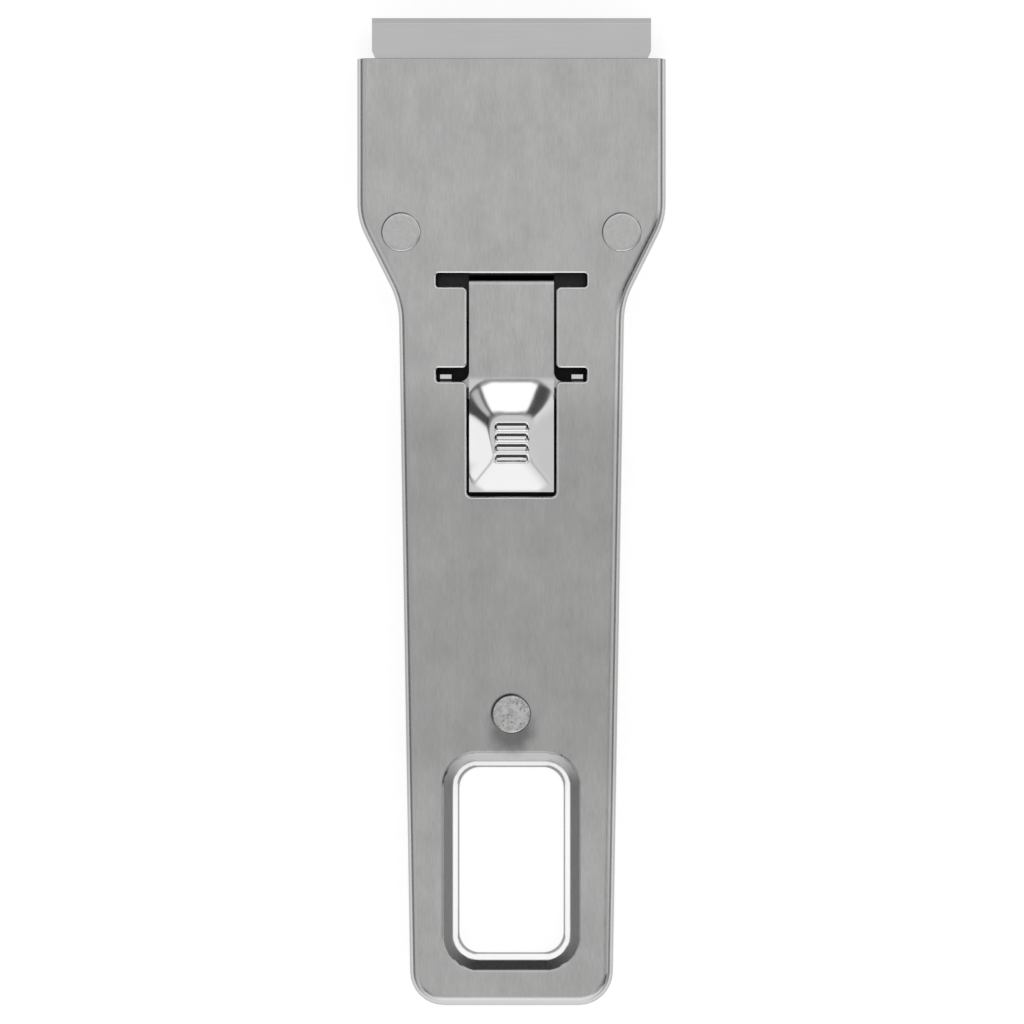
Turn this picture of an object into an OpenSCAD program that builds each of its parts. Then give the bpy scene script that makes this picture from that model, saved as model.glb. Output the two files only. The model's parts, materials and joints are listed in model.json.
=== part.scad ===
// Razor blade scraper: two pressed steel trays riveted over spacers, with a sliding
// blade carriage that a sprung thumb catch locks in either of two cross slots.
// X is the width, Y runs from the tail to the cutting edge, Z is up from the back face.

/* [Blade] */
// Width of the blade along its cutting edge
blade_w = 39.5; // [32:0.1:48]
// Height of the blade from its cutting edge to its back
blade_h = 19; // [16:0.1:24]
// Thickness of the blade
blade_t = 0.25; // [0.2:0.01:0.4]
// Length of blade that stands out of the mouth
blade_reach = 5.75; // [4.5:0.05:7]
// Width of the ground facet at the cutting edge
grind_w = 0.8; // [0.5:0.1:1.5]
// Distance from the cutting edge to the side notches
notch_start = 4.7; // [4:0.1:5.2]
// Length of a side notch
notch_len = 5.4; // [4.4:0.1:6.4]
// Length of the slope into a side notch
notch_entry = 2.5; // [2:0.1:2.8]
// Depth of a side notch
notch_depth = 1.2; // [1:0.1:1.4]

/* [Hanging opening] */
// Clear width of the front tray's opening
hang_w = 15.1; // [12:0.1:20]
// Clear length of the front tray's opening
hang_len = 26.6; // [22:0.1:34]
// Width by which the back tray's opening is smaller
hang_step_w = 0.4; // [0.2:0.1:1]
// Length by which the back tray's opening is smaller
hang_step_len = 0.4; // [0.2:0.1:1]
// Corner radius of the openings
hang_r = 2.9; // [2:0.1:4]
// Distance from the tail to the end of the front tray's opening
hang_end = 7.2; // [6:0.05:9]
// Width over which the rims are drawn inwards
hang_roll = 2.5; // [2.2:0.1:2.8]
// Angle of the rims' upper slope to the plate
rim_slope = 40; // [35:1:45]
// Angle of the rims' steep wall to the plate
rim_wall = 68; // [64:1:74]
// Outer radius of the bends over and under the upper slope
rim_bend = 0.9; // [0.85:0.05:1.2]

/* [Handle] */
// Length of the handle from its tail to the mouth
handle_len = 134; // [112:1:160]
// Distance from the blade's side to the outside of the head
head_margin = 2.1; // [1.8:0.05:3]
// Width of the head across the mouth
head_w = blade_w + 2 * head_margin;
// Length of the head behind the blade, up to where it starts to narrow
head_room = 7.15; // [6:0.05:10]
// Distance from the mouth at which the head starts to narrow
shoulder_start = blade_h - blade_reach + head_room;
// Length of the shoulder up to the middle of the hollow bend under it
shoulder_len = 16.95; // [14:0.05:20]
// Radius of the outer bend of the shoulder
shoulder_r = 10; // [8:0.5:12]
// Radius of the hollow bend under the shoulder
neck_r = 11.7; // [8:0.1:14]
// Distance from the hanging opening to the handle's side, at the tail
tail_margin = 6.75; // [5.5:0.05:9]
// Width that the tapered sides reach at the tail
tail_w = hang_w + 2 * tail_margin;
// Slope of each handle side
side_taper = 0.97; // [0:0.01:1.2]
// Corner radius at the tail
tail_r = 4.8; // [3.8:0.1:7]
// Thickness across both trays
body_t = 6; // [5:0.1:8]
// Sheet thickness of the trays
sheet = 0.8; // [0.6:0.05:1]
// Outer radius of the bend round the trays' edges
bend_r = 1.6; // [1.2:0.1:2]
// Gap between the two trays where their walls meet
seam = 0.06; // [0.02:0.01:0.2]
// Sliding clearance under the front tray and over the back tray
slide_gap = 0.12; // [0.08:0.01:0.16]

/* [Rivets] */
// Diameter of a rivet's shank
rivet_d = 4; // [3:0.1:5]
// Width by which a rivet's flush head is larger all round
rivet_flare = 0.7; // [0.4:0.05:1]
// Diameter of a rivet's flush head
rivet_head_d = rivet_d + 2 * rivet_flare;
// Wall of the spacer round each shank
spacer_wall = 1; // [0.7:0.05:1.3]
// Outside diameter of the spacer round each shank
spacer_d = rivet_d + 2 * spacer_wall;
// Distance from the start of the shoulder back to the two head rivets
head_rivet_back = 4.2; // [3:0.1:4.4]
// Distance from the mouth to the two head rivets
head_rivet_y = shoulder_start + head_rivet_back;
// Room between a head spacer and the bend in the head's side
head_rivet_room = 1.65; // [1.6:0.05:3]
// Distance between the two head rivets
head_rivet_span = head_w - 2 * bend_r - 2 * head_rivet_room - spacer_d;
// Distance from the hanging opening to the tail rivet
tail_rivet_gap = 7.5; // [6.5:0.05:9]
// Distance from the mouth to the tail rivet
tail_rivet_y = handle_len - hang_end - hang_len - tail_rivet_gap;
// Height by which the head rivets' front heads stand proud
rivet_proud = 0.12; // [0:0.01:0.2]
// Height by which the tail rivet's front head stands proud
tail_rivet_proud = 0.3; // [0.1:0.01:0.4]
// Clearance round each rivet
rivet_fit = 0.06; // [0.02:0.01:0.1]

/* [Thumb catch] */
// Sheet thickness of the catch
leaf_t = 0.6; // [0.5:0.05:0.7]
// Width of the catch's tongue and thumb pad
leaf_w = 12; // [10:0.1:14]
// Length of the thumb pad
pad_len = 17; // [14:0.1:20]
// Room under the thumb pad's dish, which the thumb uses up by pressing
press_room = 2.18; // [1.6:0.01:2.4]
// Depth of the thumb pad's dish
dish_depth = body_t - 2 * sheet - slide_gap - leaf_t - press_room;
// Length of the dish's floor
floor_len = 6.4; // [5:0.1:7.6]
// Width of the dish's floor
floor_w = 4.8; // [4:0.1:6]
// Length of flat sheet in front of the dish
dish_lip = 0.9; // [0.5:0.1:1.3]
// Distance from the thumb pad's front edge to the dish's floor
front_slope = 6.2; // [5:0.1:7.4]
// Number of grip ridges on the floor
ridge_count = 4; // [3:1:5]
// Height of a grip ridge
ridge_h = 0.3; // [0.2:0.05:0.4]
// Length by which a grip ridge runs past the floor on each side
ridge_over = 0.5; // [0.2:0.1:0.8]
// Length over which a grip ridge's end runs out
ridge_end = 0.8; // [0.4:0.1:1.2]
// Length by which each wing stands out beside the tongue
wing_reach = 4.1; // [3.6:0.1:5]
// Span across both wings
wing_span = leaf_w + 2 * wing_reach;
// Length of a wing along Y
wing_len = 2.4; // [2:0.1:3]
// Width of a lock tab on a wing's tip
tab_w = 1.6; // [1.3:0.1:2]
// Depth by which a lock tab enters its slot
lock_depth = 0.35; // [0.2:0.05:0.45]
// Clearance between a lock tab and its slot
lock_gap = 0.4; // [0.1:0.05:0.6]
// Diameter of the small rivets that hold the catch
pin_d = 1.8; // [1.5:0.1:2.1]
// Distance between the small rivets
pin_span = 6.4; // [5:0.1:7]
// Height of a small rivet's heads
pin_head_h = 0.4; // [0.3:0.05:0.5]
// Height of the bosses that the catch is held on
boss_h = 0.4; // [0.4:0.01:0.5]
// Clearance that lets the catch rock on its bosses
rock_gap = 0.1; // [0.1:0.01:0.12]
// Inner radius of the bends in the catch's step
tongue_bend = 0.4; // [0.3:0.05:0.6]

/* [Slots] */
// Distance from the head rivets back to the front cross slot
slot_back = 5.8; // [5.4:0.1:8]
// Distance from the mouth to the front cross slot
slot_front = head_rivet_y + slot_back;
// Room left in a cross slot beside each wing
slot_end_gap = 0.55; // [0.3:0.05:1]
// Length of a cross slot along X
slot_w = wing_span + 2 * slot_end_gap;
// Width of a cross slot along Y
slot_h = 1.9; // [1.5:0.1:2.4]
// Distance between the two cross slots, which is the blade's travel
travel = 13.4; // [11:0.1:16]
// Room left in the window beside the tongue
window_gap = 0.35; // [0.2:0.05:0.8]
// Width of the window between and behind the cross slots
window_w = leaf_w + 2 * window_gap;
// Room left in the window behind the thumb pad
window_end_gap = 0.7; // [0.3:0.1:1.5]
// Corner radius of the cut-outs
slot_r = 0.7; // [0.4:0.1:0.9]
// Room in front of the tongue in the front cross slot
tongue_gap = 1.6; // [0.6:0.1:2]
// Distance from the mouth to the tongue's front edge
tongue_front = slot_front + tongue_gap;

/* [Carriage] */
// Sheet thickness of the carriage
carriage_t = 0.8; // [0.6:0.05:1]
// Clearance of the carriage to each tray wall
side_gap = 0.55; // [0.4:0.05:0.8]
// Distance from the mouth to the front of the carriage
bed_setback = 0.8; // [0.5:0.1:1]
// Outer radius of the carriage's side bends
carriage_bend_r = 1.2; // [1:0.1:1.6]
// Clearance of the carriage's bed to the head spacers
spacer_gap = 0.3; // [0.2:0.05:0.6]
// Room between the carriage's tail and each head spacer
tail_plate_gap = 2.1; // [0.6:0.1:3]
// Width of the carriage's tail between the head spacers
tail_plate_w = head_rivet_span - spacer_d - 2 * tail_plate_gap;
// Inner radius of the bends in the step from the bed to the tail
step_bend = 0.6; // [0.4:0.05:0.9]
// Distance from that step to the small rivets
pin_setback = 2.6; // [2.4:0.1:3]
// Length of the tail behind the front cross slot
tail_reach = 6.6; // [3:0.1:9]
// Distance from the mouth to the end of the tail
tail_plate_end = slot_front + tail_reach;

/* [Hidden] */
$fn = 72;
over = 1;

// Heights above the back face; what the small rivets hold lies in the middle between the trays
front_under = body_t - sheet;
blade_top = front_under - slide_gap;
bed_top = blade_top - blade_t;
leaf_top = front_under - slide_gap;
held_t = 2 * pin_head_h + carriage_t + boss_h + leaf_t + 2 * rock_gap;
tail_top = body_t / 2 - held_t / 2 + pin_head_h + carriage_t;
root_under = tail_top + boss_h + rock_gap;
root_top = root_under + leaf_t;
tray_depth = body_t / 2 - seam / 2;

// Steps in bent sheet: two bends of radius r in the sheet's middle, with a straight slope between
step_angle = 60;
function step_turn(drop, r) = min(step_angle, acos(max(1 - drop / (2 * r), 0)));
function step_slope(drop, r) = let (a = step_turn(drop, r)) (drop - 2 * r * (1 - cos(a))) / sin(a);
function step_run(drop, r) = let (a = step_turn(drop, r)) 2 * r * sin(a) + step_slope(drop, r) * cos(a);
tail_drop = bed_top - tail_top;
tail_step_r = step_bend + carriage_t / 2;
tongue_rise = leaf_top - root_top;
tongue_step_r = tongue_bend + leaf_t / 2;

// Places along Y, measured from the mouth
rear_slot = -slot_front - travel;
slot_lock_edge = rear_slot - slot_h;
wing_inset = 0.5;
pad_front = rear_slot - wing_inset;
pad_end = pad_front - pad_len;
window_end = pad_end - window_end_gap;
hang_y = hang_end + hang_len / 2 - handle_len;
bed_end = -head_rivet_y + spacer_d / 2 + spacer_gap;
tail_step_end = bed_end - step_run(tail_drop, tail_step_r);
blade_back = blade_reach - blade_h;
pivot_y = tail_step_end - pin_setback;
pivot_z = root_under + leaf_t / 2;
tab_y = slot_lock_edge + lock_gap + leaf_t / 2;
rest_tilt = asin((lock_depth + slide_gap) / (pivot_y - tab_y));
model_shift = (handle_len - blade_reach) / 2;

// Places along X
bed_w = head_w - 2 * sheet - 2 * side_gap;

// Width of the flat strip round the drawn rim, which meets the plate
rim_lip = 0.9;

// Outline of the right side, from the mouth to the tail, as tangent lines and arcs.
// dir(a) is the outward normal at angle a, in degrees below +X. The two bends of the shoulder
// shrink together where it drops too far for its length.
function dir(a) = [cos(a), -sin(a)];
neck_y = -shoulder_start - shoulder_len;
neck_x = tail_w / 2 + (neck_y + handle_len) * tan(side_taper);
shoulder_drop = head_w / 2 - neck_x;
bend_limit = (pow(shoulder_len, 2) + pow(shoulder_drop, 2)) / (2 * shoulder_drop * (shoulder_r + neck_r));
outer_r = shoulder_r * min(1, 0.98 * bend_limit);
hollow_r = neck_r * min(1, 0.98 * bend_limit);
arc1_c = [head_w / 2 - outer_r, -shoulder_start];
arc2_c = [neck_x + hollow_r / cos(side_taper), neck_y];
across = arc2_c - arc1_c;
shoulder_angle = atan2(-across.y, across.x) - acos((outer_r + hollow_r) / norm(across));
turn = shoulder_angle - side_taper;
arc3_c = [tail_w / 2 - tail_r * (1 - sin(side_taper)) / cos(side_taper), tail_r - handle_len];

// Points of an arc, for cut-outs in the sheet
function arc(c, r, from, to, steps = 6) =
    [for (i = [0:steps]) let (a = from + (to - from) * i / steps) c + r * [cos(a), sin(a)]];

// Points of a rectangle with round corners
function round_rect(w, h, r, steps = 6) =
    let (x = w / 2 - r, y = h / 2 - r)
    concat(arc([x, y], r, 0, 90, steps), arc([-x, y], r, 90, 180, steps),
           arc([-x, -y], r, 180, 270, steps), arc([x, -y], r, 270, 360, steps));

// Smooth step from 0 to 1, straight enough in its middle to read as a pressed facet
function ease(v) = let (c = min(max(v, 0), 1)) 0.5 * c + 0.5 * c * c * (3 - 2 * c);

// Smaller of two values, with the crease between them rounded
function soft_min(a, b, k = 0.3) = let (h = max(k - abs(a - b), 0) / k) min(a, b) - h * h * k / 4;

// Bent edge of a tray in section, from the start of the bend at the outer face to its start at the
// inner face: X is outwards from there, Y is 0 at the outer face, and the wall's free edge is broken
bend_steps = 7;
edge_break = 0.12;
edge_section = concat(arc([0, -bend_r], bend_r, 90, 0, bend_steps),
                      [[bend_r, edge_break - tray_depth], [bend_r - edge_break, -tray_depth],
                       [bend_r - sheet, -tray_depth]],
                      arc([0, -bend_r], bend_r - sheet, 0, 90, bend_steps));

// Drawn rim of the hanging opening in section, X being outwards from the opening's clear edge: a bend
// down from the plate, a slope, a second bend, and a steep wall to the middle between the trays.
// The slope's length is what lets the wall end at X 0
module rim_section() {
    room = hang_roll - rim_bend * sin(rim_wall);
    drop = tray_depth - rim_bend * (1 - cos(rim_wall));
    slope_len = (room * sin(rim_wall) - drop * cos(rim_wall)) / sin(rim_wall - rim_slope);
    upper = [hang_roll, -rim_bend];
    lower = upper - slope_len * [cos(rim_slope), sin(rim_slope)];
    inner = rim_bend - sheet;
    polygon(concat([[hang_roll + rim_lip, 0]],
                   arc(upper, rim_bend, 90, 90 + rim_slope, 4),
                   arc(lower, rim_bend, 90 + rim_slope, 90 + rim_wall, 4),
                   [[0, -tray_depth], [sheet / sin(rim_wall), -tray_depth]],
                   arc(lower, inner, 90 + rim_wall, 90 + rim_slope, 4),
                   arc(upper, inner, 90 + rim_slope, 90, 4),
                   [[hang_roll + rim_lip, -sheet]]));
}

// A section run straight for len, clockwise, with its X turned a degrees below +X
module straight_run(start, a, len) {
    translate([start.x, start.y, 0]) rotate([0, 0, -a]) rotate([90, 0, 0]) linear_extrude(len) children();
}

// Points and normal angles round the tray, from the mouth down the right side and up the left
side_path = concat([[[head_w / 2, 0], 0]],
                   [for (i = [0:6]) let (a = shoulder_angle * i / 6) [arc1_c + outer_r * dir(a), a]],
                   [for (i = [0:6]) let (a = shoulder_angle - turn * i / 6) [arc2_c - hollow_r * dir(a), a]],
                   [for (i = [0:8]) let (a = side_taper + (90 - side_taper) * i / 8)
                    [arc3_c + tail_r * dir(a), a]]);
path = concat(side_path,
              [for (i = [len(side_path) - 1:-1:0]) let (p = side_path[i]) [[-p[0].x, p[0].y], 180 - p[1]]]);

// Plate and bent edge of a tray as one sheet: the edge's section swept round the path, with the
// plate in strips from side to side
module bent_plate() {
    n = len(path);
    m = len(edge_section);
    e = bend_steps;
    points = [for (p = path) for (q = edge_section)
              let (at = p[0] + (q.x - bend_r) * dir(p[1])) [at.x, at.y, q.y]];
    swept = [for (i = [0:n - 2]) for (j = [0:m - 2]) let (a = i * m + j)
             each [[a, a + 1, a + m + 1], [a, a + m + 1, a + m]]];
    outer = [for (i = [0:n / 2 - 2]) let (a = i * m, b = (n - 1 - i) * m)
             each [[a, a + m, b - m], [a, b - m, b]]];
    inner = [for (f = outer) [f[2] + m - 1, f[1] + m - 1, f[0] + m - 1]];
    right_end = concat([for (j = [0:e - 1]) each [[j + 1, j, m - 1 - j], [j + 1, m - 1 - j, m - 2 - j]]],
                       [for (k = [1:3]) [e + k + 1, e + k, e]]);
    left_end = [for (f = right_end) [for (k = [2:-1:0]) f[k] + (n - 1) * m]];
    last = (n - 1) * m;
    front = [[0, last, last + m - 1], [0, last + m - 1, m - 1]];
    polyhedron(points, concat(swept, outer, inner, right_end, left_end, front));
}

// Drawn rim round a hanging opening of clear size w by l
module hang_rim(w, l) {
    x = w / 2 - hang_r;
    y = l / 2 - hang_r;
    for (s = [0, 180]) translate([0, hang_y, 0]) rotate([0, 0, s]) {
        straight_run([w / 2, y], 0, 2 * y) rim_section();
        straight_run([x, -l / 2], 90, 2 * x) rim_section();
        for (c = [[x, y, 0], [x, -y, -90]])
            translate([c.x, c.y, 0]) rotate([0, 0, c.z]) rotate_extrude(angle = 90)
                translate([hang_r, 0]) rim_section();
    }
}

// Places of the three handle rivets
function rivet_place(i) = i == 2 ? [0, -tail_rivet_y] : [(2 * i - 1) * head_rivet_span / 2, -head_rivet_y];

// One pressed tray, outer face at Z 0 and walls downwards, with a hanging opening of w by l
module tray(w, l) {
    cut = hang_roll + rim_lip / 2;
    difference() {
        bent_plate();
        translate([0, hang_y, -sheet - over]) linear_extrude(sheet + 2 * over)
            polygon(round_rect(w + 2 * cut, l + 2 * cut, hang_r + cut));
        for (i = [0:2]) translate([rivet_place(i).x, rivet_place(i).y, -sheet]) {
            cylinder(h = sheet, d1 = rivet_d + 2 * rivet_fit, d2 = rivet_head_d + 2 * rivet_fit);
        }
    }
    hang_rim(w, l);
}

// Outline of the slots and the window, with the side tabs' corners rounded
module slot_outline() {
    half = window_w / 2;
    r = slot_r;
    front_low = -slot_front - slot_h;
    end_r = 0.35;
    right = concat(
        arc([slot_w / 2 - end_r, -slot_front - end_r], end_r, 90, 0),
        arc([slot_w / 2 - end_r, front_low + end_r], end_r, 0, -90),
        arc([half + r, front_low - r], r, 90, 180),
        arc([half + r, rear_slot + r], r, 180, 270),
        arc([slot_w / 2 - end_r, rear_slot - end_r], end_r, 90, 0),
        arc([slot_w / 2 - end_r, slot_lock_edge + end_r], end_r, 0, -90),
        arc([half + r, slot_lock_edge - r], r, 90, 180),
        arc([half - r, window_end + r], r, 0, -90));
    left = [for (i = [len(right) - 1:-1:0]) [-right[i].x, right[i].y]];
    polygon(concat(right, left));
}

module front_shell() {
    color("silver") translate([0, 0, body_t]) difference() {
        tray(hang_w, hang_len);
        translate([0, 0, -sheet - over]) linear_extrude(sheet + 2 * over) slot_outline();
    }
}

module back_shell() {
    color("silver") mirror([0, 0, 1]) tray(hang_w - hang_step_w, hang_len - hang_step_len);
}

// Flush rivet through both trays, with its front head proud
module rivet(i) {
    crown = 0.25;
    proud = i == 2 ? tail_rivet_proud : rivet_proud;
    head = rivet_head_d / 2;
    shank = rivet_d / 2;
    sunk = 0.05;
    color("lightgray") translate([rivet_place(i).x, rivet_place(i).y, 0]) rotate_extrude()
        polygon([[0, sunk], [head, sunk], [shank, sheet], [shank, front_under], [head, body_t],
                 [head - crown, body_t + proud], [0, body_t + proud]]);
}

// Tube that holds the trays apart round one rivet
module spacer(i) {
    color("darkgray") translate([rivet_place(i).x, rivet_place(i).y, sheet]) difference() {
        cylinder(h = front_under - sheet, d = spacer_d);
        translate([0, 0, -over]) cylinder(h = body_t + 2 * over, d = rivet_d + 2 * rivet_fit);
    }
}

// Carriage bed with its sides bent down, in section across X
module bed_section() {
    half = bed_w / 2;
    r = carriage_bend_r;
    foot = sheet + slide_gap;
    translate([r - half, bed_top - carriage_t]) square([bed_w - 2 * r, carriage_t]);
    for (s = [0, 1]) mirror([s, 0]) {
        intersection() {
            translate([half - r, bed_top - r]) difference() {
                circle(r);
                circle(r - carriage_t);
            }
            translate([half - r, bed_top - r]) square(r);
        }
        translate([half - carriage_t, foot]) square([carriage_t, bed_top - r - foot]);
    }
}

// Sheet of thickness t in section along Y, X being Y and Y being Z: its middle runs back level from
// from, steps down by drop (or up, with way -1) where it reaches y, and runs on level to back
module stepped_sheet(from, y, drop, way, r, back, t) {
    steps = 5;
    a = step_turn(drop, r);
    run = step_run(drop, r);
    first = [for (i = [0:steps]) let (b = a * i / steps)
             [[y - r * sin(b), from.y - way * r * (1 - cos(b))], [-way * sin(b), cos(b)]]];
    second = [for (i = [steps:-1:0]) let (b = a * i / steps)
              [[y - run + r * sin(b), from.y - way * (drop - r * (1 - cos(b)))], [-way * sin(b), cos(b)]]];
    line = concat([[from, [0, 1]]], first, second, [[[back, from.y - way * drop], [0, 1]]]);
    upper = [for (p = line) p[0] + p[1] * t / 2];
    lower = [for (i = [len(line) - 1:-1:0]) line[i][0] - line[i][1] * t / 2];
    polygon(concat(upper, lower));
}

module blade_carriage() {
    lug_gap = 0.15;
    lug_in = blade_w / 2 - notch_depth + lug_gap;
    lug_out = blade_w / 2 - lug_gap;
    lug_front = min(-bed_setback, blade_reach - notch_start - notch_entry) - lug_gap;
    lug_back = blade_reach - notch_start - notch_len + notch_depth / 2 + lug_gap;
    stop_d = 3;
    stop_x = blade_w / 4;
    corner = 2;
    color("gray") {
        difference() {
            union() {
                translate([0, -bed_setback, 0]) rotate([90, 0, 0]) linear_extrude(-bed_setback - bed_end)
                    bed_section();
                intersection() {
                    translate([-tail_plate_w / 2, 0, 0]) rotate([90, 0, 90]) linear_extrude(tail_plate_w)
                        stepped_sheet([bed_end + over, bed_top - carriage_t / 2], bed_end, tail_drop, 1,
                                      tail_step_r, -tail_plate_end, carriage_t);
                    translate([0, (bed_end + over - tail_plate_end) / 2, 0]) linear_extrude(body_t)
                        polygon(round_rect(tail_plate_w, bed_end + over + tail_plate_end, corner));
                }
                translate([-tail_plate_w / 2, bed_end, bed_top - carriage_t])
                    cube([tail_plate_w, corner + over, carriage_t]);
                for (s = [-1, 1]) {
                    translate([s * pin_span / 2, pivot_y, tail_top - carriage_t / 2])
                        cylinder(h = boss_h + carriage_t / 2, d = 2 * pin_d);
                    translate([s * stop_x, blade_back - slide_gap - stop_d / 2, bed_top - carriage_t / 2])
                        cylinder(h = blade_t + carriage_t / 2, d = stop_d);
                    translate([s * (lug_in + lug_out) / 2 - (lug_out - lug_in) / 2, lug_back,
                               bed_top - slide_gap])
                        cube([lug_out - lug_in, lug_front - lug_back, blade_t + slide_gap]);
                }
            }
            for (s = [-1, 1]) translate([s * pin_span / 2, pivot_y, 0])
                cylinder(h = body_t, d = pin_d + rock_gap);
        }
    }
}

// Blade outline with a sloped notch in each side
module blade_outline() {
    half = blade_w / 2;
    notch_y = blade_reach - notch_start;
    ramp = notch_depth / 2;
    right = [[half, blade_reach],
             [half, notch_y],
             [half - notch_depth, notch_y - notch_entry],
             [half - notch_depth, notch_y - notch_len + ramp],
             [half, notch_y - notch_len],
             [half, blade_back]];
    left = [for (i = [len(right) - 1:-1:0]) [-right[i].x, right[i].y]];
    polygon(concat(right, left));
}

// Blade, ground from both faces to its cutting edge
module blade() {
    edge_t = 0.02;
    color("gainsboro") intersection() {
        translate([0, 0, bed_top]) linear_extrude(blade_t) blade_outline();
        translate([-blade_w, 0, bed_top]) rotate([90, 0, 90]) linear_extrude(2 * blade_w)
            polygon([[blade_back - over, 0], [blade_reach - grind_w, 0],
                     [blade_reach, (blade_t - edge_t) / 2], [blade_reach, (blade_t + edge_t) / 2],
                     [blade_reach - grind_w, blade_t], [blade_back - over, blade_t]]);
    }
}

// Depth of the thumb pad at x from the middle and v back from its front edge
function grip(x, v) =
    let (pitch = floor_len / ridge_count,
         k = floor((v - front_slope) / pitch),
         off = abs(v - front_slope - (k + 0.5) * pitch),
         on = k >= 0 && k < ridge_count && off < pitch / 3 ? pow(cos(270 * off / pitch), 2) : 0)
    on * ease((floor_w / 2 + ridge_over - abs(x)) / ridge_end);
function dish(x, v) =
    let (side = ease((leaf_w / 2 - abs(x)) / (leaf_w / 2 - floor_w / 2)),
         front = ease((v - dish_lip) / (front_slope - dish_lip)),
         back = ease((pad_len - v) / (pad_len - front_slope - floor_len)))
    dish_depth * soft_min(side, soft_min(front, back)) - ridge_h * grip(x, v);

// Dished thumb pad as one sheet over a grid of points
module thumb_pad() {
    cols = 16;
    fine = 7 * ridge_count;
    rows = concat([0], [for (i = [0:7]) dish_lip + (front_slope - dish_lip) * i / 8],
                  [for (i = [0:fine - 1]) front_slope + floor_len * i / fine],
                  [for (i = [0:6]) front_slope + floor_len + (pad_len - front_slope - floor_len) * i / 6]);
    n = len(rows);
    w = cols + 1;
    upper = [for (v = rows) for (j = [0:cols]) let (x = leaf_w * (j / cols - 0.5))
             [x, pad_front - v, leaf_top - dish(x, v)]];
    lower = [for (p = upper) p - [0, 0, leaf_t]];
    m = n * w;
    top_faces = [for (i = [0:n - 2]) for (j = [0:cols - 1]) let (a = i * w + j)
                 each [[a, a + 1, a + w + 1], [a, a + w + 1, a + w]]];
    low_faces = [for (f = top_faces) [f[2] + m, f[1] + m, f[0] + m]];
    ring = concat([for (j = [0:cols]) j],
                  [for (i = [1:n - 1]) i * w + cols],
                  [for (j = [cols - 1:-1:0]) (n - 1) * w + j],
                  [for (i = [n - 2:-1:1]) i * w]);
    k = len(ring);
    side_faces = [for (i = [0:k - 1]) let (a = ring[i], b = ring[(i + 1) % k])
                  each [[a, a + m, b + m], [a, b + m, b]]];
    polyhedron(concat(upper, lower), concat(top_faces, low_faces, side_faces));
}

// Wing with a filleted root, and a lock tab turned up at its tip
module wing() {
    root = leaf_w / 2;
    front = slot_lock_edge + 0.02;
    fillet = pad_front - front;
    tip = wing_span / 2;
    tab_front = tab_y + leaf_t / 2;
    translate([0, 0, leaf_top - leaf_t]) linear_extrude(leaf_t)
        polygon(concat([[root - over, front - wing_len], [root - over, pad_front]],
                       arc([root + fillet, pad_front], fillet, 180, 270),
                       [[tip - tab_w, front], [tip - tab_w, tab_front], [tip, tab_front],
                        [tip, front - wing_len]]));
    translate([tip - tab_w, tab_y - leaf_t / 2, leaf_top - leaf_t])
        cube([tab_w, leaf_t, leaf_t + slide_gap + lock_depth]);
}

// Catch as it stands in the stored pose, rocked down just clear of its slot
module thumb_catch() {
    root_lap = 0.4;
    color("whitesmoke") translate([0, pivot_y, pivot_z]) rotate([rest_tilt, 0, 0])
        translate([0, -pivot_y, -pivot_z]) {
            difference() {
                translate([-leaf_w / 2, 0, 0]) rotate([90, 0, 90]) linear_extrude(leaf_w)
                    stepped_sheet([pivot_y + pin_d + root_lap, pivot_z], step_run(tongue_rise, tongue_step_r)
                                  - tongue_front, tongue_rise, -1, tongue_step_r, pad_front, leaf_t);
                for (s = [-1, 1]) translate([s * pin_span / 2, pivot_y, 0])
                    cylinder(h = body_t, d = pin_d + 4 * rock_gap);
            }
            wing();
            mirror([1, 0, 0]) wing();
            thumb_pad();
        }
}

// Two small rivets that hold the catch on the carriage's bosses
module catch_rivets() {
    color("lightgray") for (s = [-1, 1]) translate([s * pin_span / 2, pivot_y, 0]) rotate_extrude()
        polygon([[0, tail_top - carriage_t - pin_head_h], [pin_d, tail_top - carriage_t - pin_head_h],
                 [pin_d, tail_top - carriage_t], [pin_d / 2, tail_top - carriage_t],
                 [pin_d / 2, root_top + rock_gap], [pin_d * 0.9, root_top + rock_gap],
                 [pin_d * 0.7, root_top + rock_gap + pin_head_h], [0, root_top + rock_gap + pin_head_h]]);
}

module placed() {
    translate([0, model_shift, 0]) children();
}

placed() front_shell();
placed() back_shell();
placed() rivet(0);  // head_rivet_left
placed() rivet(1);  // head_rivet_right
placed() rivet(2);  // tail_rivet
placed() spacer(0);  // head_spacer_left
placed() spacer(1);  // head_spacer_right
placed() spacer(2);  // tail_spacer
placed() blade_carriage();
placed() blade();
placed() thumb_catch();
placed() catch_rivets();
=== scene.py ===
"""Looks of a flat steel razor blade scraper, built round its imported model."""

import json
import math

import bpy
from mathutils import Matrix, Vector


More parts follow.
